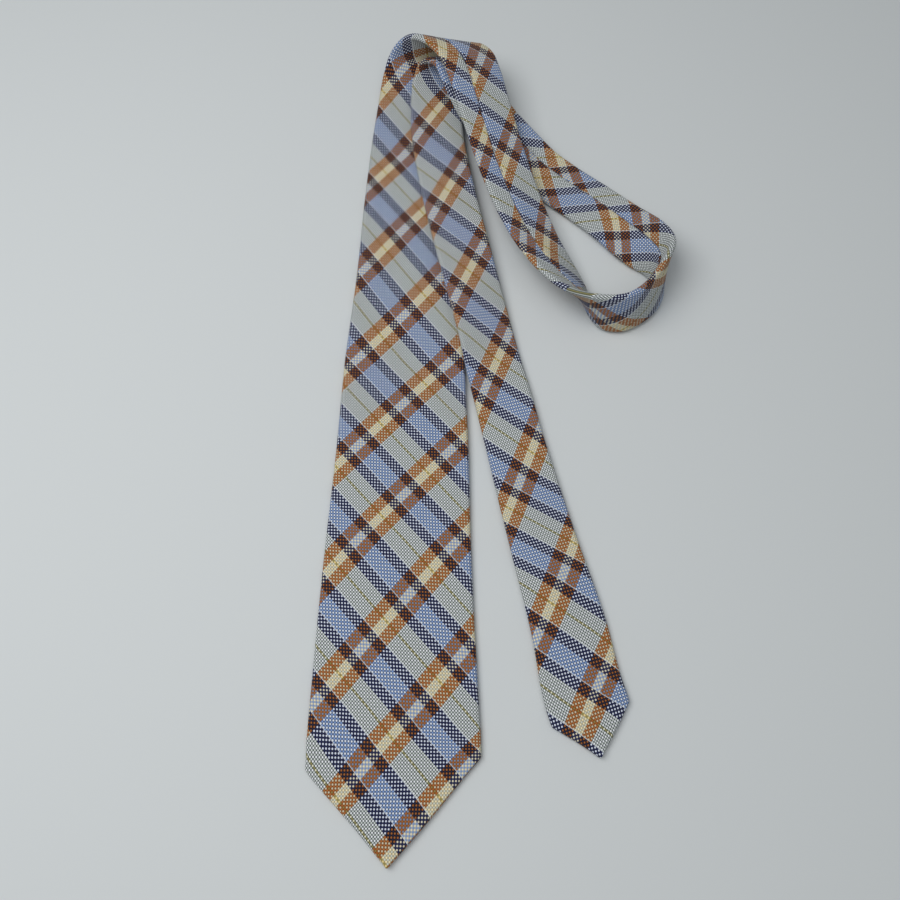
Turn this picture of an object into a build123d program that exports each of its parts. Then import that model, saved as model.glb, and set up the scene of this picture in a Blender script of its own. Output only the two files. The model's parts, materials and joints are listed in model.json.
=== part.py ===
from build123d import *
import math
import os

# A necktie laid on a table: blade and tail side by side, the neck end curled round
# into an open loop. Millimetres, +Z up, table top at z = 0, the tips point along -Y.
# The origin is on the table, under the middle of the whole tie.

os.makedirs("parts", exist_ok=True)

# ---- driving dimensions -------------------------------------------------------
TIE_THICK = 4.4          # folded tie, front face to back face
CLOTH = 0.9              # plaid outer cloth, one layer
TIPPING_THICK = 0.3      # lining cloth behind each tip
THREAD_THICK = 0.3       # sewing thread, as a flat ribbon
THREAD_WIDE = 0.6
SEAM_SIDE = -0.25        # centre back seam, as a share of the half width
SHELL_EDGE = 1.4         # depth of the rolled edge of the folded cloth
CORNER_DROP = 1.0        # how far the rolled edge falls back from each face
LINING_INSET = 2.0       # from the folded edge to the edge of the interlining
CLEARANCE = 0.05         # between the layers inside the fold
MOST_INSET = 0.5         # of an inset, as a share of the side, where a tip gets narrow

SEAM_ONE = 23            # station of the seam between blade piece and neck piece
SEAM_TWO = 38            # station of the seam between neck piece and tail piece

SLACK = 0.08             # between the back of the tie and what is sewn on it
KEEPER_LENGTH = 44.0
KEEPER_WIDE = 12.0
KEEPER_THICK = 0.8
KEEPER_END = 6.0
LABEL_THICK = 0.4

ORIGIN_X = 28.4          # from the drawing's zero to the middle of the tie
ORIGIN_Y = 26.8

# ---- the run of the tie -------------------------------------------------------
# Each station: x, y, z of the middle of the tie, then the compass angle and the
# rise of its width direction in degrees, then the full width.
RUN = [
    (-29.5, -208, 2.7, 0, 0, 1.2),
    (-27.3, -162.5, 2.7, 4, 0, 85),
    (-27.4, -150, 2.7, 1, 0, 85),
    (-27.5, -118, 2.7, 0, 0, 82),
    (-27.2, -56, 2.7, 0, 0, 76.5),
    (-26, -10, 3.5, 0, 0, 72.5),
    (-25.4, 52, 3.5, -1, 0, 67.5),
    (-24, 110, 3, -2, 0, 60.5),
    (-24, 160, 2.7, -2, 0, 55),
    (-23, 205, 2.7, -2, 0, 50),
    (-22, 230, 3.2, -2, 0, 46.5),
    (-20.5, 248.6, 6.2, -2, -2, 44),
    (-17.4, 258.2, 10.9, -3, -14, 42),
    (-12.2, 259.1, 19.2, 0, -26, 40),
    (-4.5, 257.3, 27.2, 8, -24, 38.5),
    (3, 252, 31, 15, -19, 37),
    (9.5, 244.4, 31.4, 20, -15, 35.5),
    (15.1, 231.1, 29.6, 24, -13, 34.5),
    (20.2, 212.7, 26.5, 27, -12, 34),
    (31, 174, 21, 30, -13, 33),
    (42, 142, 18, 33, -18, 32),
    (53, 117, 17.5, 38, -28, 32),
    (63, 101, 17, 42, -38, 32),
    (71, 90, 17.3, 45, -52, 32),
    (78, 81, 17.3, 52, -76, 32),
    (87, 75.5, 17.3, 75, -95, 32),
    (96.5, 75, 17.3, 100, -101, 32),
    (107, 80, 17.3, 130, -103, 32),
    (115, 88, 17.3, 152, -105, 32),
    (120, 98, 17.3, 175, -99, 32),
    (120, 110, 16.5, 202, -70, 32),
    (113.5, 123, 12, 218, -38, 32),
    (104, 136, 7, 226, -14, 32),
    (94, 147, 5, 228, -5, 32),
    (83, 157, 4.2, 229, -3, 32),
    (67, 170, 4.2, 229, -4, 31),
    (53, 182, 5.5, 224, -6, 30),
    (41, 194.5, 8.5, 222, -6, 30),
    (30, 206, 12, 223, -3, 31),
    (20, 215.6, 18, 221, 0, 32),
    (12.7, 227.9, 21.8, 217, 6, 32),
    (8, 238.3, 23.7, 211, 12, 32),
    (4.3, 246.3, 23.6, 204, 16, 32),
    (0.1, 249.4, 21, 199, 20, 32),
    (-3.6, 249.5, 17.5, 196, 22, 32),
    (-6.1, 247.5, 14, 193, 20, 32),
    (-7.7, 242, 11.5, 190, 14, 32),
    (-8.3, 234, 9.7, 188, 7, 32),
    (-8.4, 224.3, 9.2, 187, 1, 32),
    (-8, 208, 8.3, 187, 0, 32),
    (-1, 163, 8, 190, 0, 32),
    (12, 104, 8.2, 192.5, 8, 32),
    (18, 78, 7, 192.5, 12, 32),
    (21.6, 62, 6.2, 192.5, 12, 32),
    (24.8, 48, 4.2, 192.5, 5, 32),
    (28, 35, 3.6, 193, 0, 32),
    (35.5, 2, 3.5, 194, 0, 32.5),
    (49, -53.5, 3.5, 194, 0, 35.5),
    (60.5, -98, 2.7, 194, 0, 39),
    (66.5, -130, 2.7, 195, 0, 41),
    (69.2, -139.2, 2.7, 197.5, 0, 41),
    (72.8, -159.3, 2.7, 191, 0, 1.2),
]


def unit(v):
    """The same direction, one millimetre long."""
    return v.normalized()


def station_frame(k):
    """Middle point, width direction and back-face normal at one station."""
    x, y, z, angle, rise, wide = RUN[k]
    middle = Vector(x - ORIGIN_X, y - ORIGIN_Y, z)
    before = RUN[max(k - 1, 0)]
    after = RUN[min(k + 1, len(RUN) - 1)]
    along = unit(Vector(*after[:3]) - Vector(*before[:3]))
    a = math.radians(angle)
    r = math.radians(rise)
    across = Vector(math.cos(r) * math.cos(a), math.cos(r) * math.sin(a), math.sin(r))
    return middle, across, unit(along.cross(across))


def section(k, corners):
    """Points across the tie; corners are (side share, side inset, height)."""
    middle, across, back = station_frame(k)
    half = RUN[k][5] / 2
    points = []
    for share, inset, height in corners:
        side = share * half
        side -= math.copysign(min(inset, abs(side) * MOST_INSET), side)
        points.append(middle + across * side + back * height)
    return points


def flat_face(*points):
    """A flat face through its corner points."""
    return Face(Wire(Polyline(*points, close=True).edges()))


def skin(rings):
    """Flat three-cornered faces from each ring of points to the next."""
    faces = []
    for here, there in zip(rings, rings[1:]):
        for j in range(len(here)):
            n = (j + 1) % len(here)
            faces.append(flat_face(here[j], here[n], there[n]))
            faces.append(flat_face(here[j], there[n], there[j]))
    return faces


def rim(outer, inner):
    """The cut edge of the cloth at the open end of a piece."""
    faces = []
    for j in range(len(outer)):
        n = (j + 1) % len(outer)
        faces.append(flat_face(outer[j], outer[n], inner[n], inner[j]))
    return faces


def closed(faces):
    """One solid inside a closed set of faces."""
    solid = Solid(Shell(faces))
    return solid if solid.volume > 0 else -solid


def run_solid(first, last, corners):
    """A closed solid along the tie, faceted between one station and the next."""
    rings = [section(k, corners) for k in range(first, last + 1)]
    return closed([flat_face(*rings[0]), flat_face(*rings[-1])] + skin(rings))


def thread_corners():
    """Side offsets of the two edges of the seam thread on the back face."""
    return ((SEAM_SIDE, 0), (SEAM_SIDE, THREAD_WIDE))


def folded_corners():
    """Outline of the folded tie: rolled edges, and the thread's own edges."""
    top = TIE_THICK / 2
    low = top - CORNER_DROP
    (a0, i0), (a1, i1) = thread_corners()
    return [
        (-1, 0, -low), (-1, SHELL_EDGE, -top), (1, SHELL_EDGE, -top), (1, 0, -low),
        (1, 0, low), (1, SHELL_EDGE, top), (a1, i1, top), (a0, i0, top),
        (-1, SHELL_EDGE, top), (-1, 0, low),
    ]


def inner_corners(shrink):
    """The outline again, corner for corner, shrunk inwards by one distance."""
    top = TIE_THICK / 2 - shrink
    low = top - CORNER_DROP / 2
    deep = shrink + CORNER_DROP / 2
    (a0, i0), (a1, i1) = thread_corners()
    return [
        (-1, shrink, -low), (-1, deep, -top), (1, deep, -top), (1, shrink, -low),
        (1, shrink, low), (1, deep, top), (a1, i1, top), (a0, i0, top),
        (-1, deep, top), (-1, shrink, low),
    ]


def tipping_corners():
    """The thin lining between the interlining and the back of the fold."""
    top = INSIDE - CLEARANCE
    low = top - TIPPING_THICK
    return [(-1, LINING_INSET, low), (1, LINING_INSET, low),
            (1, LINING_INSET, top), (-1, LINING_INSET, top)]


INSIDE = TIE_THICK / 2 - CLOTH
LAST = len(RUN) - 1


def save(shape, name):
    """Write one sub-part and print what it is."""
    export_step(shape, f"parts/{name}.step")
    box = shape.bounding_box()
    print(name, round(shape.volume, 1), "mm3", [round(v, 1) for v in (*box.min, *box.max)])


def shell(first, last, pocket_first, pocket_last):
    """One piece of the folded outer cloth: closed at a tip, open at a seam."""
    outer = [section(k, folded_corners()) for k in range(first, last + 1)]
    inner = [section(k, inner_corners(CLOTH)) for k in range(pocket_first, pocket_last + 1)]
    faces = skin(outer) + skin(inner)
    for end, is_open in ((0, first == pocket_first), (-1, last == pocket_last)):
        if is_open:
            faces += rim(outer[end], inner[end])
        else:
            faces += [flat_face(*outer[end]), flat_face(*inner[end])]
    return closed(faces)


def place(x, y, z, turn=0):
    """A location given in the drawing's own X and Y."""
    return Pos(x - ORIGIN_X, y - ORIGIN_Y, z) * Rot(0, 0, turn)


def back_level(k):
    """Height of the underside of a flat stretch of the tie."""
    return RUN[k][2] - TIE_THICK / 2


# ---- outer cloth --------------------------------------------------------------
blade_shell = shell(0, SEAM_ONE, 1, SEAM_ONE)
neck_shell = shell(SEAM_ONE, SEAM_TWO, SEAM_ONE, SEAM_TWO)
tail_shell = shell(SEAM_TWO, LAST, SEAM_TWO, LAST - 1)


def tip_window(tip, shoulder, depth, hem):
    """The V at the back of a tip where the folded edges part over the tipping."""
    tx, ty = RUN[tip][0], RUN[tip][1]
    sx, sy = RUN[shoulder][0], RUN[shoulder][1]
    inward = Vector(sx - tx, sy - ty).normalized()
    side = Vector(-inward.Y, inward.X)
    base = Vector(tx, ty) + inward * hem * 1.5
    reach = (depth - hem * 1.5) * 0.5
    wide = RUN[shoulder][5] / 2 - hem
    points = [base, base + inward * reach + side * wide, base + inward * depth,
              base + inward * reach - side * wide]
    shifted = [(p.X - ORIGIN_X, p.Y - ORIGIN_Y) for p in points]
    face = make_face(Polyline(*shifted, close=True))
    cut_depth = CLOTH + THREAD_THICK
    return Pos(0, 0, back_level(tip) - THREAD_THICK) * extrude(face, cut_depth), points


blade_window, blade_points = tip_window(0, 1, 92, 12)
tail_window, tail_points = tip_window(LAST, LAST - 1, 48, 7.6)
blade_shell -= blade_window
tail_shell -= tail_window
save(blade_shell, "blade_shell")
save(neck_shell, "neck_shell")
save(tail_shell, "tail_shell")

# ---- fillings -----------------------------------------------------------------
INTERLINING_IN = CLOTH + TIPPING_THICK + 2 * CLEARANCE
save(run_solid(1, LAST - 1, inner_corners(INTERLINING_IN)), "interlining")
for name, first, last in (("blade_tipping", 1, 4), ("tail_tipping", LAST - 4, LAST - 1)):
    save(run_solid(first, last, tipping_corners()), name)

# ---- the slip stitch down the centre back ------------------------------------------
BACK = TIE_THICK / 2
(share_a, inset_a), (share_b, inset_b) = thread_corners()
stitch_outline = [
    (share_b, inset_b, BACK), (share_a, inset_a, BACK),
    (share_a, inset_a, BACK + THREAD_THICK), (share_b, inset_b, BACK + THREAD_THICK),
]
save(run_solid(4, LAST - 4, stitch_outline), "slip_stitch")

# ---- threads at the ends of the slip stitch -------------------------------------
TACK_LONG = 9.0
TACK_WIDE = 1.6


def beneath(k, along, share, long, wide, thick, gap=0.0):
    """A small flat piece under a flat stretch, part of the way from k to k + 1."""
    here, across, _ = station_frame(k)
    there, _, _ = station_frame(k + 1)
    middle = here + (there - here) * along
    spot = middle + across * (RUN[k][5] / 2 * share)
    level = middle.Z - TIE_THICK / 2 - gap - thick / 2
    return Pos(spot.X, spot.Y, level) * Rot(0, 0, RUN[k][3]) * Box(long, wide, thick)


BLADE_TACK_AT = 2
TAIL_TACK_AT = LAST - 4
save(beneath(BLADE_TACK_AT, 0.95, SEAM_SIDE, TACK_LONG, TACK_WIDE, THREAD_THICK, SLACK),
     "blade_bar_tack")
save(beneath(TAIL_TACK_AT, 0.15, SEAM_SIDE, TACK_LONG * 0.7, TACK_WIDE, THREAD_THICK, SLACK),
     "tail_bar_tack")

# ---- stitches that hold the tipping to the folded cloth ---------------------------
HEM_STITCH = 2.4
HEM_EDGE = 1.6


def hem_stitches(corners, level, count):
    """Small stitches along the four sides of a tipping window."""
    stitches = []
    middle = sum(corners, Vector(0, 0, 0)) / len(corners)
    for j, start in enumerate(corners):
        end = corners[(j + 1) % len(corners)]
        turn = math.degrees(math.atan2(end.Y - start.Y, end.X - start.X))
        for i in range(count):
            spot = start + (end - start) * ((i + 0.5) / count)
            spot += unit(spot - middle) * HEM_EDGE
            bar = Box(HEM_STITCH, THREAD_WIDE, THREAD_THICK)
            stitches.append(place(spot.X, spot.Y, level - THREAD_THICK / 2, turn) * bar)
    return Compound(children=stitches)


save(hem_stitches(blade_points, back_level(0), 7), "blade_hem_stitches")
save(hem_stitches(tail_points, back_level(LAST), 4), "tail_hem_stitches")

# ---- keeper loop and labels behind the tie ----------------------------------------
KEEPER_AT = 5
KEEPER_GAP = 0.5
MAKER_LABEL = (46.0, 20.0)
CARE_LABEL = (22.0, 12.0)
LABEL_STITCH = (3.0, 0.8)
LABEL_GAP = 0.35         # room for the seam thread behind a label


def keeper_loop():
    """A strip across the back of the blade, fixed at both ends only."""
    strip = beneath(KEEPER_AT, 0.3, 0, KEEPER_LENGTH, KEEPER_WIDE, KEEPER_THICK, KEEPER_GAP)
    shift = (KEEPER_LENGTH - KEEPER_END) / 2
    foot = beneath(KEEPER_AT, 0.3, 0, KEEPER_END, KEEPER_WIDE, KEEPER_GAP - SLACK, SLACK)
    return strip + Pos(-shift, 0, 0) * foot + Pos(shift, 0, 0) * foot


def corner_stitches(centre, size, level):
    """Four short stitches through the corners of a label or the keeper's ends."""
    stitches = []
    for sx in (-1, 1):
        for sy in (-1, 1):
            spot = Pos(centre.X + sx * size[0] / 2, centre.Y + sy * size[1] / 2, level)
            stitches.append(spot * Box(*LABEL_STITCH, THREAD_THICK))
    return Compound(children=stitches)


keeper = keeper_loop()
maker_label = beneath(KEEPER_AT, 0.85, 0, *MAKER_LABEL, LABEL_THICK, LABEL_GAP)
care_label = beneath(LAST - 5, 0.35, 0, *CARE_LABEL, LABEL_THICK, LABEL_GAP)
save(keeper, "keeper_loop")
save(maker_label, "maker_label")
save(care_label, "care_label")
half_thread = THREAD_THICK / 2
keeper_box = keeper.bounding_box()
save(corner_stitches(keeper_box.center(), (KEEPER_LENGTH + LABEL_STITCH[0] + 0.2, KEEPER_WIDE - 3),
                     keeper_box.max.Z - SLACK - half_thread), "keeper_stitches")
for item, name, size in ((maker_label, "maker_label_stitches", MAKER_LABEL),
                         (care_label, "care_label_stitches", CARE_LABEL)):
    box = item.bounding_box()
    inner = (size[0] - 5, size[1] - 3)
    save(corner_stitches(box.center(), inner, box.min.Z - half_thread), name)
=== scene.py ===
import json
import math

import bpy
import numpy as np
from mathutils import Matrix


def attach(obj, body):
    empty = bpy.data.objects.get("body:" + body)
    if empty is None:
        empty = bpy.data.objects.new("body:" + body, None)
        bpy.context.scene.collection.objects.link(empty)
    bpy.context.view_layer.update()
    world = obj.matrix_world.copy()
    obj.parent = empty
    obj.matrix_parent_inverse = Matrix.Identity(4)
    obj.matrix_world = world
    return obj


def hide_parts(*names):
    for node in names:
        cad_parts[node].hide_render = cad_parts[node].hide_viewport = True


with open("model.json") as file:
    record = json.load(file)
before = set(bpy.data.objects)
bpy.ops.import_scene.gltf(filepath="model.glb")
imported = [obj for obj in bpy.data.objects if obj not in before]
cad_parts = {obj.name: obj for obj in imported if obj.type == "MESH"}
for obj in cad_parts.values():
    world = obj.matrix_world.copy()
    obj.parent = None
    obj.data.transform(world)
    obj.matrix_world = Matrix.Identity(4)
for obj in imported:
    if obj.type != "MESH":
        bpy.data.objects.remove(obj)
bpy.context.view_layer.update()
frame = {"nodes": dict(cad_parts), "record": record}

# %% [markdown]
# A necktie is one long strip of cloth, folded lengthwise round a wool interlining and
# closed by a hand-sewn seam down the back. It could be made by simulating a flat cut,
# but a folded strip that already lies still is easier to draw: one line says where the
# middle runs, and a second direction at each place says how the strip is turned. The
# rest of the script sweeps the folded outline along that line.

# %% Where the tie runs
MM = 0.001
ORIGIN = np.array([28.4, 26.8, 0.0])

# x, y, z of the middle, compass angle and rise of the width, full width; millimetres.
# The places were measured: no formula gives them.
RUN = [
    (-29.5, -208, 2.7, 0, 0, 1.2), (-27.3, -162.5, 2.7, 4, 0, 85), (-27.4, -150, 2.7, 1, 0, 85),
    (-27.5, -118, 2.7, 0, 0, 82), (-27.2, -56, 2.7, 0, 0, 76.5), (-26, -10, 3.5, 0, 0, 72.5),
    (-25.4, 52, 3.5, -1, 0, 67.5), (-24, 110, 3, -2, 0, 60.5), (-24, 160, 2.7, -2, 0, 55),
    (-23, 205, 2.7, -2, 0, 50), (-22, 230, 3.2, -2, 0, 46.5), (-20.5, 248.6, 6.2, -2, -2, 44),
    (-17.4, 258.2, 10.9, -3, -14, 42), (-12.2, 259.1, 19.2, 0, -26, 40),
    (-4.5, 257.3, 27.2, 8, -24, 38.5), (3, 252, 31, 15, -19, 37), (9.5, 244.4, 31.4, 20, -15, 35.5),
    (15.1, 231.1, 29.6, 24, -13, 34.5), (20.2, 212.7, 26.5, 27, -12, 34), (31, 174, 21, 30, -13, 33),
    (42, 142, 18, 33, -18, 32), (53, 117, 17.5, 38, -28, 32), (63, 101, 17, 42, -38, 32),
    (71, 90, 17.3, 45, -52, 32), (78, 81, 17.3, 52, -76, 32), (87, 75.5, 17.3, 75, -95, 32),
    (96.5, 75, 17.3, 100, -101, 32), (107, 80, 17.3, 130, -103, 32), (115, 88, 17.3, 152, -105, 32),
    (120, 98, 17.3, 175, -99, 32), (120, 110, 16.5, 202, -70, 32), (113.5, 123, 12, 218, -38, 32),
    (104, 136, 7, 226, -14, 32), (94, 147, 5, 228, -5, 32), (83, 157, 4.2, 229, -3, 32),
    (67, 170, 4.2, 229, -4, 31), (53, 182, 5.5, 224, -6, 30), (41, 194.5, 8.5, 222, -6, 30),
    (30, 206, 12, 223, -3, 31), (20, 215.6, 18, 221, 0, 32), (12.7, 227.9, 21.8, 217, 6, 32),
    (8, 238.3, 23.7, 211, 12, 32), (4.3, 246.3, 23.6, 204, 16, 32), (0.1, 249.4, 21, 199, 20, 32),
    (-3.6, 249.5, 17.5, 196, 22, 32), (-6.1, 247.5, 14, 193, 20, 32), (-7.7, 242, 11.5, 190, 14, 32),
    (-8.3, 234, 9.7, 188, 7, 32), (-8.4, 224.3, 9.2, 187, 1, 32), (-8, 208, 8.3, 187, 0, 32),
    (-1, 163, 8, 190, 0, 32), (12, 104, 8.2, 192.5, 8, 32), (18, 78, 7, 192.5, 12, 32),
    (21.6, 62, 6.2, 192.5, 12, 32), (24.8, 48, 4.2, 192.5, 5, 32), (28, 35, 3.6, 193, 0, 32),
    (35.5, 2, 3.5, 194, 0, 32.5), (49, -53.5, 3.5, 194, 0, 35.5), (60.5, -98, 2.7, 194, 0, 39),
    (66.5, -130, 2.7, 195, 0, 41), (69.2, -139.2, 2.7, 197.5, 0, 41), (72.8, -159.3, 2.7, 191, 0, 1.2),
]
STATION_P = np.array([s[:3] for s in RUN], float) - ORIGIN
STATION_WIDE = np.array([s[5] for s in RUN], float)
STATION_S = np.r_[0, np.cumsum(np.linalg.norm(np.diff(STATION_P, axis=0), axis=1))]
LONG = STATION_S[-1]


def unit(v):
    """Rows of v, each one long."""
    return v / np.linalg.norm(v, axis=-1, keepdims=True)


def station_across():
    """The width direction at each station."""
    angle = np.radians([s[3] for s in RUN])
    rise = np.radians([s[4] for s in RUN])
    return np.stack([np.cos(rise) * np.cos(angle), np.cos(rise) * np.sin(angle), np.sin(rise)], 1)


STATION_W = station_across()
print(len(RUN), "stations,", round(LONG), "mm along the tie")

# %% [markdown]
# Stations are joined by cubic curves that keep one direction through each point, so the
# cloth has no kinks between them. Widths change in straight lines, because both ends of
# a tie are cut straight.


# %% A smooth line through the stations
def smooth(values, s):
    """Cubic curve through the stations' values, read at the distances s."""
    t = STATION_S
    gap = np.diff(t)[:, None]
    slope = np.diff(values, axis=0) / gap
    inner = (slope[:-1] * gap[1:] + slope[1:] * gap[:-1]) / (gap[1:] + gap[:-1])
    tangent = np.vstack([slope[:1], inner, slope[-1:]])
    k = np.clip(np.searchsorted(t, s, side="right") - 1, 0, len(t) - 2)
    h = (t[k + 1] - t[k])[:, None]
    x = ((s - t[k]) / (t[k + 1] - t[k]))[:, None]
    near = (1 + 2 * x) * (1 - x) ** 2 * values[k] + x * (1 - x) ** 2 * h * tangent[k]
    far = x**2 * (3 - 2 * x) * values[k + 1] + x**2 * (x - 1) * h * tangent[k + 1]
    return near + far


def frames(s):
    """Middle, width direction, back normal and half width at the distances s."""
    middle = smooth(STATION_P, s)
    along = unit(smooth(STATION_P, s + 0.2) - smooth(STATION_P, s - 0.2))
    across = unit(smooth(STATION_W, s))
    back = unit(np.cross(along, across))
    return middle, across, back, np.interp(s, STATION_S, STATION_WIDE) / 2


# %% [markdown]
# The folded outline. The cloth starts at the seam on the back, goes round the left edge,
# over the front, round the right edge and back to the seam. It stays one open sheet with
# a slit at the seam, as the real cloth is, so its unfolded width can be measured off it.
# The distance round the outline is kept too, because the plaid is drawn on flat cloth.

# %% The folded outline
THICK = 4.4
SEAM_SIDE = -0.25
EDGE_ROLL = 2.1
FRONT_POINTS = 44
EDGE_POINTS = 9
FLAP_POINTS = 14
SEAM_TUCK = 0.8
MOST_ROLL = 0.45         # of the half width, where a tip gets narrow
FLAP_REACH = 0.98        # how near a flap may come to the far edge
EDGE_THINNING = 0.16


def outline(half, flap_left, flap_right):
    """Side offset, height and unfolded position round one ring, from seam to seam."""
    roll = min(EDGE_ROLL, half * MOST_ROLL)
    crown = THICK / 2
    edge = np.linspace(-math.pi / 2, math.pi / 2, EDGE_POINTS + 2)[1:-1]
    reach = half - roll
    front = np.linspace(-reach, reach, FRONT_POINTS)
    left_flap = np.linspace(min(flap_left, reach * FLAP_REACH), -reach, FLAP_POINTS)
    right_flap = np.linspace(reach, max(flap_right, -reach * FLAP_REACH), FLAP_POINTS)
    side = np.r_[left_flap, -reach - roll * np.cos(edge), front, reach + roll * np.cos(edge), right_flap]
    swell = 1 - EDGE_THINNING * np.abs(side / half) ** 3
    level = np.r_[np.full(FLAP_POINTS, crown), crown * np.sin(edge)[::-1], np.full(FRONT_POINTS, -crown),
                  crown * np.sin(edge), np.full(FLAP_POINTS, crown)] * swell
    level[0] -= SEAM_TUCK
    level[-1] -= SEAM_TUCK
    walked = np.r_[0, np.cumsum(np.hypot(np.diff(side), np.diff(level)))]
    centre = np.interp(0, front, walked[FLAP_POINTS + EDGE_POINTS:][:FRONT_POINTS])
    return side, level, walked - centre


# Depth and hem of the V behind each tip, its narrowest half width, the share of the depth
# over which it widens, and how many hems of closed cloth are left at the very tip.
WINDOW = {"blade": (92.0, 12.0), "tail": (46.0, 7.0)}
LEAST_OPENING = 0.3
OPENING_SHARE = 0.45
CLOSED_HEMS = 1.5


def flap_ends(s, half):
    """Where the two back flaps stop: at the seam, or at the V behind a tip."""
    seam = SEAM_SIDE * half
    for end, distance in (("blade", s), ("tail", LONG - s)):
        depth, hem = WINDOW[end]
        if distance < depth:
            widest = max(half - hem, LEAST_OPENING)
            opening = widest * min(1.0, (depth - distance) / (depth * OPENING_SHARE))
            if distance < hem * CLOSED_HEMS:
                opening = 0.0
            return seam - opening * (1 + SEAM_SIDE), seam + opening * (1 - SEAM_SIDE)
    return seam, seam


print("fold", THICK, "mm thick,", 2 * (FLAP_POINTS + EDGE_POINTS) + FRONT_POINTS, "points round it")

# %% [markdown]
# The plaid. On the flat cloth both sets of stripes lie on the bias, so they cross the tie
# like an X. A crossing of the blue stripe and the cream stripe comes at every whole
# number of two counts, m and n. The crossings aren't evenly spaced on cloth that has been
# pulled and pressed, so each cut piece has short lists of measured places for them.

# %% How the plaid lies on each cut piece
BLADE_SEAM_AT = 23
TAIL_SEAM_AT = 38
SEAM_ONE = STATION_S[BLADE_SEAM_AT]
SEAM_TWO = STATION_S[TAIL_SEAM_AT]
print("piecing seams at", round(SEAM_ONE), "and", round(SEAM_TWO), "mm")


def blade_plaid(s, u):
    """Crossing counts on the blade piece at s along and u across the flat cloth."""
    drift = np.interp(s, [71, 127, 182, 232, 285, 345, 398, 460, 512, 576, 639],
                      [10.5, 5.9, 1.8, -0.5, -2.1, -4.0, -5.3, -10.5, -14.1, -19.5, -23.4])
    apart = np.interp(s, [270, 320], [24.6, 22.6])
    across = (u - drift) / apart
    down = np.interp(s + 0.07 * u, [-12, 43.8, 155.3, 258.5, 345, 398, 460, 750],
                     [9, 7, 3, -1, -4, -6, -8, -18])
    return across, down


def neck_plaid(s, u):
    """Crossing counts on the neck piece."""
    across = (u - np.interp(s, [796, 863], [0.4, -10.0])) / 22.6
    down = -np.interp(s, [690, 796, 863, 890], [-0.2, 3.5, 6.0, 7.0])
    return across, down


def tail_plaid(s, u):
    """Crossing counts on the tail piece, counted from its tip."""
    back = LONG - s
    drift = np.interp(back, [34, 91, 144, 202, 258], [-8.8, -5.4, 3.6, 8.0, 12.1])
    across = -(u - drift) / np.interp(back, [60, 200], [24.5, 22.0])
    down = -np.interp(back, [-11, 34.1, 91.2, 143.6, 201.6, 258.2, 498], [-1.6, 0, 2, 4, 6, 8, 16.4])
    return across, down


# %% [markdown]
# Each piece of outer cloth becomes one mesh of rings joined by quads. Its plaid counts
# go into a texture map that belongs to the mesh, so the pattern stays on the cloth
# from every side.

# %% Sweep the outline into cloth
RING_STEP = 2.0
RIPPLE = 0.25            # depth of the soft waves in the front, and how long they are
RIPPLE_ALONG = (19.0, 31.0)
RIPPLE_ACROSS = (11.0, 17.0)


def folded_cloth(name, first, last, plaid):
    """One folded sheet from first to last along the tie, with its flat area in mm2."""
    count = int((last - first) / RING_STEP) + 1
    s = np.linspace(first, last, count)
    middle, across, back, half = frames(s)
    rings = [outline(half[i], *flap_ends(s[i], half[i])) for i in range(count)]
    side = np.array([r[0] for r in rings])
    level = np.array([r[1] for r in rings])
    flat = np.array([r[2] for r in rings])
    ripple = RIPPLE * np.sin(s[:, None] / RIPPLE_ALONG[0] + side / RIPPLE_ACROSS[0])
    ripple = ripple * np.cos(s[:, None] / RIPPLE_ALONG[1] - side / RIPPLE_ACROSS[1])
    level = level - ripple * (level < 0)
    points = middle[:, None] + across[:, None] * side[..., None] + back[:, None] * level[..., None]
    rows, columns = side.shape
    index = np.arange(rows * columns).reshape(rows, columns)
    quads = np.stack([index[:-1, :-1], index[:-1, 1:], index[1:, 1:], index[1:, :-1]], -1).reshape(-1, 4)
    mesh = bpy.data.meshes.new(name)
    mesh.from_pydata((points.reshape(-1, 3) * MM).tolist(), [], quads.tolist())
    q, p = plaid(np.repeat(s[:, None], columns, 1).ravel(), flat.ravel())
    counts = np.stack([(q + p) / 2, (q - p) / 2], 1)
    layer = mesh.uv_layers.new(name="plaid")
    corner_vertex = np.empty(len(mesh.loops), np.int32)
    mesh.loops.foreach_get("vertex_index", corner_vertex)
    layer.data.foreach_set("uv", counts[corner_vertex].astype(np.float32).ravel())
    mesh.polygons.foreach_set("use_smooth", [True] * len(mesh.polygons))
    piece = bpy.data.objects.new(name, mesh)
    bpy.context.scene.collection.objects.link(piece)
    unfolded = (flat[:, -1] - flat[:, 0])
    area = float(((unfolded[1:] + unfolded[:-1]) / 2 * np.diff(s)).sum())
    print(name, rows, "rings of", columns, "points")
    print("  flat cut", round(unfolded.max()), "x", round(last - first), "mm")
    return piece, (unfolded.max() * MM, (last - first) * MM), area * MM * MM


START = STATION_S[0]
blade, blade_flat, blade_area = folded_cloth("blade", START, SEAM_ONE, blade_plaid)
neckband, neck_flat, neck_area = folded_cloth("neckband", SEAM_ONE, SEAM_TWO, neck_plaid)
tail, tail_flat, tail_area = folded_cloth("tail", SEAM_TWO, LONG, tail_plaid)

# %% [markdown]
# The interlining is a strip of wool as wide as the folded tie less a little. It never
# shows here, but on a real tie it keeps the cloth from falling in.

# %% Interlining
LINING_IN = 1.7
LINING_THICK = 1.6
LINING_STEP = 4.0


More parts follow.
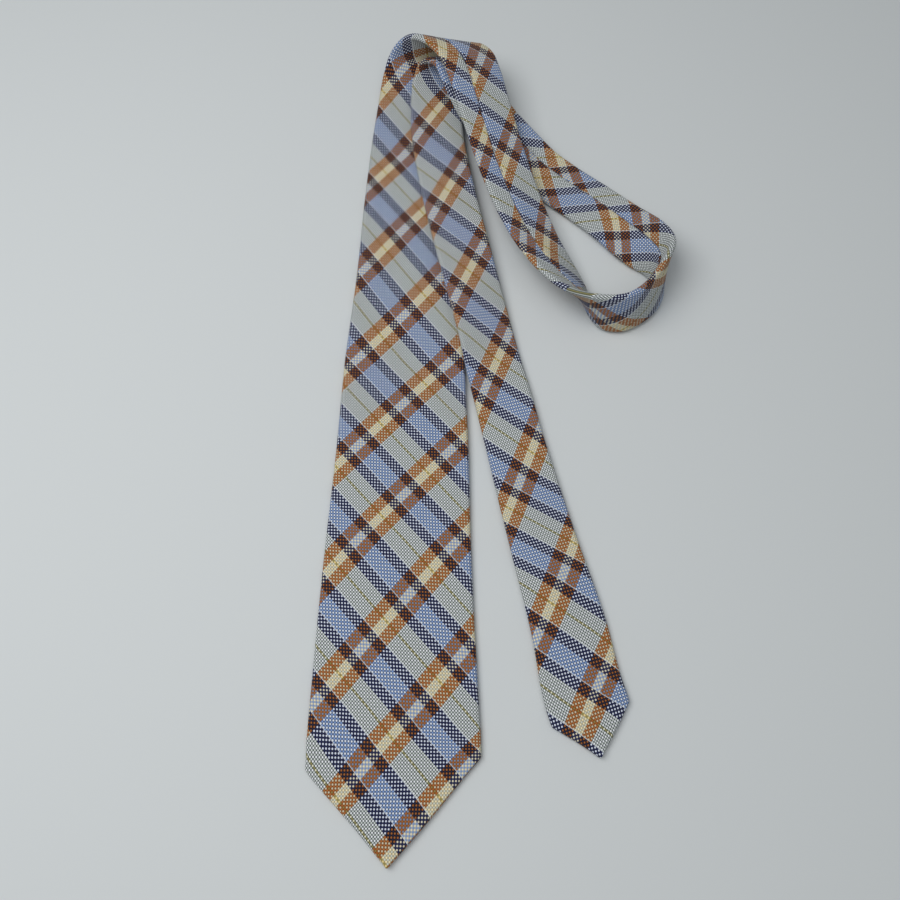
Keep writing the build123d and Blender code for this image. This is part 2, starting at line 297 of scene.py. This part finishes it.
def inner_strip(name, first, last):
    """A flat closed strip inside the fold."""
    s = np.linspace(first, last, int((last - first) / LINING_STEP))
    middle, across, back, half = frames(s)
    reach = np.maximum(half - LINING_IN, 0.3)
    corners = [(-1, -1), (0, -1), (1, -1), (1, 1), (0, 1), (-1, 1)]
    rings = np.array([middle + across * (reach * a)[:, None] + back * (LINING_THICK / 2 * b)
                      for a, b in corners]).transpose(1, 0, 2)
    rows, columns = rings.shape[:2]
    index = np.arange(rows * columns).reshape(rows, columns)
    turned = np.roll(index, -1, 1)
    quads = np.stack([index[:-1], turned[:-1], turned[1:], index[1:]], -1).reshape(-1, 4).tolist()
    quads += [index[0][::-1].tolist(), index[-1].tolist()]
    mesh = bpy.data.meshes.new(name)
    mesh.from_pydata((rings.reshape(-1, 3) * MM).tolist(), [], quads)
    piece = bpy.data.objects.new(name, mesh)
    bpy.context.scene.collection.objects.link(piece)
    area = float((reach * 2)[:-1] @ np.diff(s)) * MM * MM
    return piece, (float(reach.max()) * 2 * MM, (last - first) * MM), area


wool, wool_flat, wool_area = inner_strip("wool_interlining", STATION_S[1], STATION_S[-2])
print("interlining", [round(v, 3) for v in wool_flat], "m")

# %% [markdown]
# The slip stitch closes the back. On the real tie only a short dash of thread shows every
# few millimetres, so it is a row of small rounded bars on the seam line.

# %% Slip stitch
STITCH_EVERY = 7.0
STITCH_LONG = 2.2
STITCH_WIDE = 0.45
STITCH_SIDES = 6
STITCH_SHIFT = 0.2       # to one side of the slit
STITCH_SUNK = 0.1        # into the cloth
FIRST_STITCH = 100.0
LAST_STITCH = 52.0       # back from the tail's tip


def stitch_row(name, first, last):
    """Small bars of thread along the centre back seam."""
    s = np.arange(first, last, STITCH_EVERY)
    middle, across, back, half = frames(s)
    along = np.cross(across, back)
    seat = middle + across * (SEAM_SIDE * half + STITCH_SHIFT)[:, None] + back * (THICK / 2 - STITCH_SUNK)
    verts, faces = [], []
    turn = np.linspace(0, 2 * math.pi, STITCH_SIDES + 1)[:-1]
    for i in range(len(s)):
        base = len(verts)
        for share, scale in ((-1, 0.35), (-0.6, 1), (0.6, 1), (1, 0.35)):
            for a in turn:
                ring = across[i] * math.cos(a) * STITCH_WIDE / 2 + back[i] * math.sin(a) * STITCH_WIDE / 2
                verts.append(seat[i] + along[i] * share * STITCH_LONG / 2 + ring * scale)
        for r in range(3):
            low = base + STITCH_SIDES * r
            high = low + STITCH_SIDES
            for j in range(STITCH_SIDES):
                n = (j + 1) % STITCH_SIDES
                faces.append([low + j, low + n, high + n, high + j])
        faces.append([base + j for j in reversed(range(STITCH_SIDES))])
        faces.append([base + 3 * STITCH_SIDES + j for j in range(STITCH_SIDES)])
    mesh = bpy.data.meshes.new(name)
    mesh.from_pydata((np.array(verts) * MM).tolist(), [], faces)
    mesh.polygons.foreach_set("use_smooth", [True] * len(mesh.polygons))
    piece = bpy.data.objects.new(name, mesh)
    bpy.context.scene.collection.objects.link(piece)
    print(name, len(s), "stitches")
    return piece


seam_stitches = stitch_row("seam_stitches", FIRST_STITCH, LONG - LAST_STITCH)

# %% [markdown]
# The plaid's colours are worked out from the two counts. Each repeat has 32 threads each
# way. The threads pass over and under one another like a chessboard, so a square of the
# weave takes its colour from one set of threads or from the other in turn. This is one
# node group with named inputs, so that the keeper loop can use it at its own place.

# %% Colours of the threads
THREADS = 32
FINE_LINES = (12, 25)
FINE_LINE = (0.62, 0.66, 0.70)
FINE_LINE_SHIFT = 0.15   # in threads, from the edge of its thread
FINE_LINE_HALF = 0.17
FINE_LINE_COVER = 0.7
THREAD_EDGE = 0.09       # how soft the edge of a thread is

# Each stripe: its first thread in the repeat, its thread colour, its part of the shadow
# colour between threads, and how it tints the threads that cross it. The two parts of a
# shadow are multiplied together.
SAGE_STRIPE = ((0.60, 0.64, 0.61), (0.40, 0.44, 0.43), (1.0, 1.0, 1.0))
NAVY_STRIPE = ((0.010, 0.014, 0.070), (0.025, 0.035, 0.130), (0.80, 0.84, 0.96))
SKY_STRIPE = ((0.19, 0.30, 0.58), (0.36, 0.48, 0.78), (0.90, 0.93, 1.0))
OLIVE_STRIPE = ((0.28, 0.25, 0.10), (0.40, 0.37, 0.17), (0.92, 0.86, 0.62))
CHALK_STRIPE = ((0.82, 0.84, 0.86), (0.22, 0.24, 0.25), (1.0, 1.0, 1.0))
RUST_STRIPE = ((0.42, 0.135, 0.03), (0.52, 0.17, 0.04), (1.0, 0.84, 0.64))
CREAM_STRIPE = ((0.88, 0.76, 0.48), (1.00, 0.80, 0.54), (1.0, 0.98, 0.90))
BLUE_SET = [(0, *OLIVE_STRIPE), (1, *SAGE_STRIPE), (7, *NAVY_STRIPE), (12, *SKY_STRIPE), (20, *NAVY_STRIPE),
            (25, *SAGE_STRIPE)]
RUST_SET = [(0, *CHALK_STRIPE), (9, *RUST_STRIPE), (14, *CREAM_STRIPE), (18, *RUST_STRIPE),
            (23, *CHALK_STRIPE)]


def new_group(name, inputs, outputs):
    """An empty node group with its sockets, and its input and output nodes."""
    group = bpy.data.node_groups.new(name, "ShaderNodeTree")
    for label, kind, value in inputs:
        socket = group.interface.new_socket(name=label, in_out="INPUT", socket_type=kind)
        if value is not None:
            socket.default_value = value
    for label, kind in outputs:
        group.interface.new_socket(name=label, in_out="OUTPUT", socket_type=kind)
    return group, group.nodes.new("NodeGroupInput"), group.nodes.new("NodeGroupOutput")


def maths(tree, operation, a, b=None):
    """A math node; each input is a number or an output socket."""
    node = tree.nodes.new("ShaderNodeMath")
    node.operation = operation
    for socket, value in zip(node.inputs, (a, b)):
        if value is None:
            continue
        if isinstance(value, (int, float)):
            socket.default_value = value
        else:
            tree.links.new(value, socket)
    return node.outputs[0]


def mix(tree, factor, a, b, blend="MIX"):
    """A colour mix node; colours are tuples or sockets."""
    node = tree.nodes.new("ShaderNodeMix")
    node.data_type = "RGBA"
    node.blend_type = blend
    for socket, value in ((node.inputs[0], factor), (node.inputs[6], a), (node.inputs[7], b)):
        if isinstance(value, (int, float)):
            socket.default_value = value
        elif isinstance(value, tuple):
            socket.default_value = (*value, 1)
        else:
            tree.links.new(value, socket)
    return node.outputs[2]


def stripes(tree, position, threads, which):
    """Stepped colour ramp for one set of threads; which is 1 thread, 2 shadow, 3 tint."""
    ramp = tree.nodes.new("ShaderNodeValToRGB")
    ramp.color_ramp.interpolation = "CONSTANT"
    stops = ramp.color_ramp.elements
    while len(stops) < len(threads):
        stops.new(0.5)
    for stop, stripe in zip(stops, threads):
        stop.position = stripe[0] / THREADS
        stop.color = (*stripe[which], 1)
    tree.links.new(position, ramp.inputs[0])
    return ramp.outputs[0]


def plaid_group():
    """Counts in; colour of the weave and height of the threads out."""
    tree, given, made = new_group("plaid_weave", [("Counts", "NodeSocketVector", None),
                                                  ("Thread Size", "NodeSocketFloat", 0.39)],
                                  [("Color", "NodeSocketColor"), ("Height", "NodeSocketFloat")])
    split = tree.nodes.new("ShaderNodeSeparateXYZ")
    tree.links.new(given.outputs["Counts"], split.inputs[0])
    cells, squares, places = [], [], []
    for count in (split.outputs[0], split.outputs[1]):
        scaled = maths(tree, "MULTIPLY", maths(tree, "ADD", count, 0.5), THREADS)
        cell = maths(tree, "FLOOR", scaled)
        cells.append(cell)
        inside = maths(tree, "SUBTRACT", maths(tree, "SUBTRACT", scaled, cell), 0.5)
        squares.append(maths(tree, "MULTIPLY", inside, inside))
        centre = maths(tree, "DIVIDE", maths(tree, "ADD", cell, 0.5), THREADS)
        places.append(maths(tree, "FLOORED_MODULO", centre, 1.0))
    over = maths(tree, "FLOORED_MODULO", maths(tree, "ADD", cells[0], cells[1]), 2.0)
    blue_thread = mix(tree, 1.0, stripes(tree, places[1], BLUE_SET, 1), stripes(tree, places[0], RUST_SET, 3),
                      "MULTIPLY")
    rust_thread = mix(tree, 1.0, stripes(tree, places[0], RUST_SET, 1), stripes(tree, places[1], BLUE_SET, 3),
                      "MULTIPLY")
    thread = mix(tree, over, blue_thread, rust_thread)
    shadow = mix(tree, 1.0, stripes(tree, places[1], BLUE_SET, 2), stripes(tree, places[0], RUST_SET, 2),
                 "MULTIPLY")
    away = maths(tree, "ADD", squares[0], squares[1])
    reach = maths(tree, "MULTIPLY", given.outputs["Thread Size"], given.outputs["Thread Size"])
    on_top = maths(tree, "ADD", maths(tree, "DIVIDE", maths(tree, "SUBTRACT", reach, away), THREAD_EDGE), 0.5)
    on_top = maths(tree, "MINIMUM", maths(tree, "MAXIMUM", on_top, 0.0), 1.0)
    colour = mix(tree, on_top, shadow, thread)
    line_place = maths(tree, "MULTIPLY",
                       maths(tree, "FLOORED_MODULO", maths(tree, "ADD", split.outputs[1], 0.5), 1.0), THREADS)
    for start in FINE_LINES:
        off = maths(tree, "ABSOLUTE", maths(tree, "SUBTRACT", line_place, start + FINE_LINE_SHIFT))
        cover = maths(tree, "MULTIPLY", maths(tree, "LESS_THAN", off, FINE_LINE_HALF), FINE_LINE_COVER)
        colour = mix(tree, cover, colour, FINE_LINE)
    tree.links.new(colour, made.inputs["Color"])
    tree.links.new(maths(tree, "SUBTRACT", 1.0, maths(tree, "MULTIPLY", away, 2.0)), made.inputs["Height"])
    return tree


def grain_group():
    """Fine uneven shading, as woven yarn has."""
    tree, given, made = new_group("yarn_grain", [("Color", "NodeSocketColor", (0.8, 0.8, 0.8, 1)),
                                                 ("Size", "NodeSocketFloat", 900.0),
                                                 ("Amount", "NodeSocketFloat", 0.15)],
                                  [("Color", "NodeSocketColor"), ("Height", "NodeSocketFloat")])
    where = tree.nodes.new("ShaderNodeTexCoord")
    noise = tree.nodes.new("ShaderNodeTexNoise")
    noise.inputs["Detail"].default_value = 3.0
    tree.links.new(where.outputs["Object"], noise.inputs["Vector"])
    tree.links.new(given.outputs["Size"], noise.inputs["Scale"])
    dark = maths(tree, "MULTIPLY", maths(tree, "SUBTRACT", noise.outputs[0], 0.35), given.outputs["Amount"])
    shade = maths(tree, "SUBTRACT", 1.0, maths(tree, "MULTIPLY", dark, 2.0))
    grey = tree.nodes.new("ShaderNodeCombineColor")
    for socket in grey.inputs:
        tree.links.new(shade, socket)
    tree.links.new(mix(tree, 1.0, given.outputs["Color"], grey.outputs[0], "MULTIPLY"), made.inputs["Color"])
    tree.links.new(noise.outputs[0], made.inputs["Height"])
    return tree


PLAID = plaid_group()
GRAIN = grain_group()
print("node groups:", PLAID.name, GRAIN.name)


# %% [markdown]
# Cloth is matt with a soft sheen at its edges. The height of the threads feeds a small
# bump. Each material keeps its own Principled shader and reads the shared groups.

# %% Materials
def new_material(name, roughness, sheen):
    """A material with a rough, slightly sheeny Principled shader."""
    material = bpy.data.materials.new(name)
    material.use_nodes = True
    shader = material.node_tree.nodes["Principled BSDF"]
    shader.inputs["Roughness"].default_value = roughness
    shader.inputs["Sheen Weight"].default_value = sheen
    shader.inputs["Specular IOR Level"].default_value = 0.25
    return material, material.node_tree, shader


def add_bump(tree, shader, height, strength, distance):
    """Bump from a height that changes over the surface."""
    bump = tree.nodes.new("ShaderNodeBump")
    bump.inputs["Strength"].default_value = strength
    bump.inputs["Distance"].default_value = distance
    tree.links.new(height, bump.inputs["Height"])
    tree.links.new(bump.outputs[0], shader.inputs["Normal"])


def plaid_material(name, counts_from):
    """The plaid cloth; counts_from makes the socket that gives the two counts."""
    material, tree, shader = new_material(name, 0.82, 0.12)
    weave = tree.nodes.new("ShaderNodeGroup")
    weave.node_tree = PLAID
    tree.links.new(counts_from(tree), weave.inputs["Counts"])
    grain = tree.nodes.new("ShaderNodeGroup")
    grain.node_tree = GRAIN
    grain.inputs["Amount"].default_value = 0.12
    tree.links.new(weave.outputs["Color"], grain.inputs["Color"])
    tree.links.new(grain.outputs["Color"], shader.inputs["Base Color"])
    add_bump(tree, shader, weave.outputs["Height"], 0.5, 0.0004)
    return material


def counts_on_cloth(tree):
    """The counts stored on the folded cloth."""
    node = tree.nodes.new("ShaderNodeUVMap")
    node.uv_map = "plaid"
    return node.outputs[0]


REPEATS_PER_M = 28.0


def counts_on_strip(tree):
    """Counts for a small bias strip that has no texture map of its own."""
    where = tree.nodes.new("ShaderNodeTexCoord")
    place = tree.nodes.new("ShaderNodeMapping")
    place.inputs["Rotation"].default_value = (0, 0, math.radians(45))
    place.inputs["Scale"].default_value = (REPEATS_PER_M,) * 3
    tree.links.new(where.outputs["Object"], place.inputs[0])
    return place.outputs[0]


def yarn_material(name, colour, roughness, sheen, size, amount):
    """A plain yarn, tape or wool."""
    material, tree, shader = new_material(name, roughness, sheen)
    grain = tree.nodes.new("ShaderNodeGroup")
    grain.node_tree = GRAIN
    grain.inputs["Color"].default_value = (*colour, 1)
    grain.inputs["Size"].default_value = size
    grain.inputs["Amount"].default_value = amount
    tree.links.new(grain.outputs["Color"], shader.inputs["Base Color"])
    add_bump(tree, shader, grain.outputs["Height"], 0.4, 0.0003)
    return material


plaid_cloth = plaid_material("plaid_cloth", counts_on_cloth)
plaid_strip = plaid_material("plaid_strip", counts_on_strip)
wool_white = yarn_material("wool_white", (0.72, 0.68, 0.58), 0.95, 0.4, 700.0, 0.3)
lining_satin = yarn_material("lining_satin", (0.018, 0.026, 0.075), 0.42, 0.3, 1600.0, 0.2)
thread_grey = yarn_material("thread_grey", (0.16, 0.18, 0.24), 0.6, 0.2, 2500.0, 0.3)
label_white = yarn_material("label_white", (0.78, 0.76, 0.68), 0.7, 0.2, 1800.0, 0.15)
print("materials:", len(bpy.data.materials))

# %% [markdown]
# Every piece now gets its material and its body, and the CAD node that it stands for is hidden.

# %% Materials and bodies for the pieces
SLOTS = {"plaid_cloth": plaid_strip, "interlining_wool": wool_white, "tipping_cloth": lining_satin,
         "sewing_thread": thread_grey, "label_tape": label_white}
for part in frame["record"]["subparts"]:
    node = frame["nodes"][part["node"]]
    node.data.materials.clear()
    node.data.materials.append(SLOTS[part["material_slot"]])

for piece, node, material, slot in (
    (blade, "blade_shell", plaid_cloth, "plaid_cloth"), (neckband, "neck_shell", plaid_cloth, "plaid_cloth"),
    (tail, "tail_shell", plaid_cloth, "plaid_cloth"), (wool, "interlining", wool_white, "interlining_wool"),
    (seam_stitches, "slip_stitch", thread_grey, "sewing_thread"),
):
    piece.data.materials.append(material)
    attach(piece, "root")
    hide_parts(node)

# %% [markdown]
# The tie lies on a plain pale table under wide, soft light. The camera stands over its
# lower end and looks down and a little forward.

# %% Table, light and camera
TABLE_HALF = 3.0
CAMERA_TILT = 20.0
LENS_MM = 36.0
SENSOR_MM = 36.0


def area_light(name, place, aim, size, power):
    """A large square lamp that points at aim."""
    lamp = bpy.data.lights.new(name, "AREA")
    lamp.size = size
    lamp.energy = power
    holder = bpy.data.objects.new(name, lamp)
    holder.location = place
    towards = np.array(aim) - np.array(place)
    holder.rotation_euler = (math.atan2(math.hypot(towards[0], towards[1]), -towards[2]), 0,
                             math.atan2(towards[1], towards[0]) - math.pi / 2)
    bpy.context.scene.collection.objects.link(holder)


def table():
    """A wide flat floor just under the tie."""
    mesh = bpy.data.meshes.new("table")
    corners = [(-1, -1), (1, -1), (1, 1), (-1, 1)]
    mesh.from_pydata([(x * TABLE_HALF, y * TABLE_HALF, 0) for x, y in corners], [], [[0, 1, 2, 3]])
    surface, _, shader = new_material("table_paper", 0.9, 0.0)
    shader.inputs["Base Color"].default_value = (0.60, 0.625, 0.63, 1)
    mesh.materials.append(surface)
    floor = bpy.data.objects.new("table", mesh)
    bpy.context.scene.collection.objects.link(floor)
    return floor


table()
area_light("window", (-0.42, -0.02, 0.85), (-0.1, -0.02, 0.0), 0.6, 5.2)
area_light("ceiling", (0.1, -0.3, 1.7), (0.0, 0.0, 0.0), 1.6, 7.5)
world = bpy.data.worlds.new("room")
world.use_nodes = True
world.node_tree.nodes["Background"].inputs[0].default_value = (0.80, 0.85, 0.88, 1)
world.node_tree.nodes["Background"].inputs[1].default_value = 0.27
bpy.context.scene.world = world
bpy.context.scene.view_settings.view_transform = "Standard"

CAMERA_AT = np.array([0.0, -168.42, 462.72]) - ORIGIN
lens = bpy.data.cameras.new("camera")
lens.lens = LENS_MM
lens.sensor_width = SENSOR_MM
camera = bpy.data.objects.new("camera", lens)
camera.location = (CAMERA_AT * MM).tolist()
camera.rotation_euler = (math.radians(CAMERA_TILT), 0, 0)
bpy.context.scene.collection.objects.link(camera)
bpy.context.scene.camera = camera
